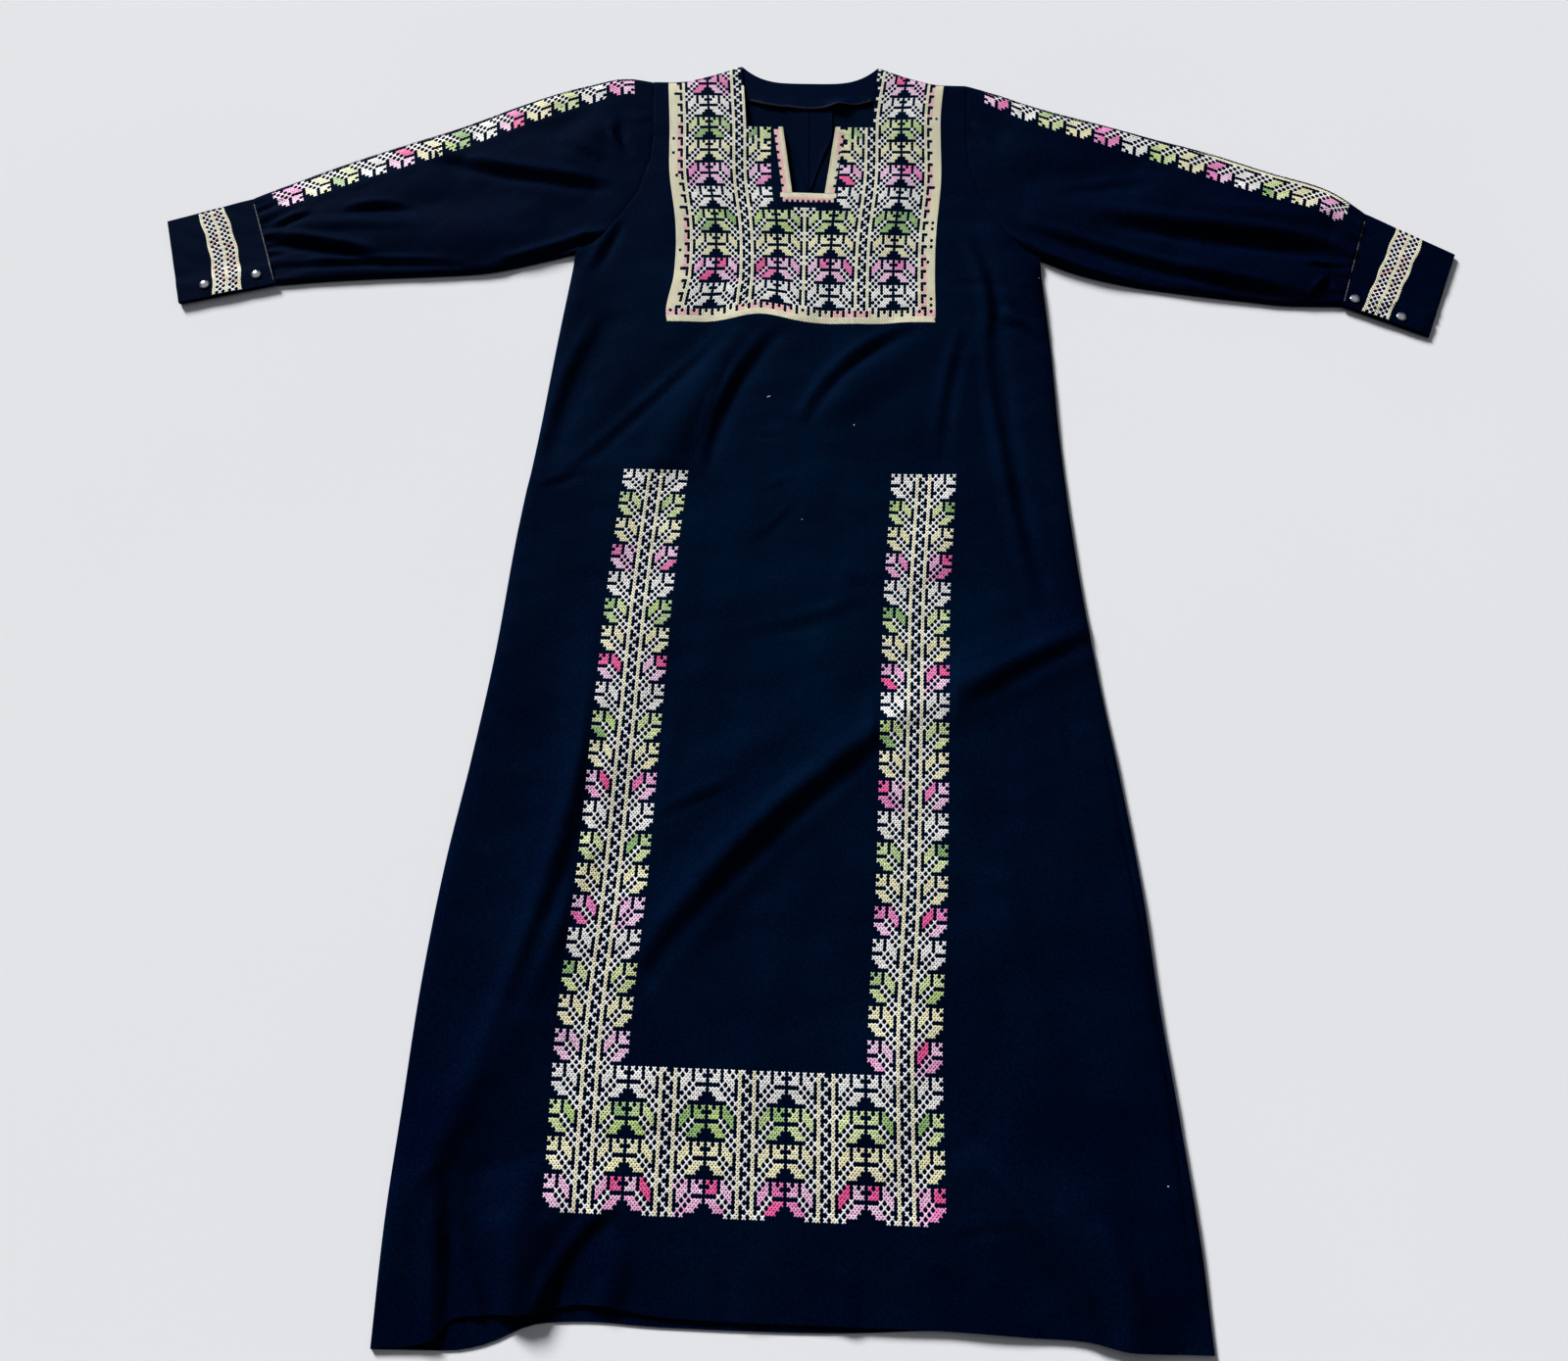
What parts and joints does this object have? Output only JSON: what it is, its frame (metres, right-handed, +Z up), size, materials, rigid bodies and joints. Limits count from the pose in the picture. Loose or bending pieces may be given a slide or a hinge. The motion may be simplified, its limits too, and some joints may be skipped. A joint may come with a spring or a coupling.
{
  "type": "palestinian thobe dress",
  "caption": "Long navy A-line dress with long sleeves and deep cuffs, cross-stitch on chest, skirt and sleeves, laid flat.",
  "frame": {"origin": "middle of the footprint, on the surface that the dress lies on", "axes": "+X towards the wearer's left cuff, +Y from the hem to the neck, +Z up out of the front of the dress"},
  "size_m": [1.483, 1.418, 0.0136],
  "materials": {
    "navy_crepe": "smooth matt crepe with a faint sheen",
    "navy_crepe_inside": "the inner side of the same crepe",
    "embroidery_thread": "stranded cotton cross-stitch in cream, white, yellow, green and pink",
    "button_metal": "bright silvery dome with a faceted rim"
  },
  "bodies": {
    "root": {"front_panel": "navy_crepe", "back_panel": "navy_crepe", "back_neck_facing": "navy_crepe_inside", "back_allowance_left": "navy_crepe_inside", "back_allowance_right": "navy_crepe_inside", "sleeve_left": "navy_crepe", "sleeve_right": "navy_crepe", "cuff_left": "navy_crepe", "cuff_right": "navy_crepe", "yoke_embroidery": "embroidery_thread", "skirt_strip_left": "embroidery_thread", "skirt_strip_right": "embroidery_thread", "skirt_panel_embroidery": "embroidery_thread", "sleeve_strip_left": "embroidery_thread", "sleeve_strip_right": "embroidery_thread", "cuff_band_left": "embroidery_thread", "cuff_band_right": "embroidery_thread", "button_left_1": "button_metal", "button_left_2": "button_metal", "button_right_1": "button_metal", "button_right_2": "button_metal"}
  },
  "joints": []
}
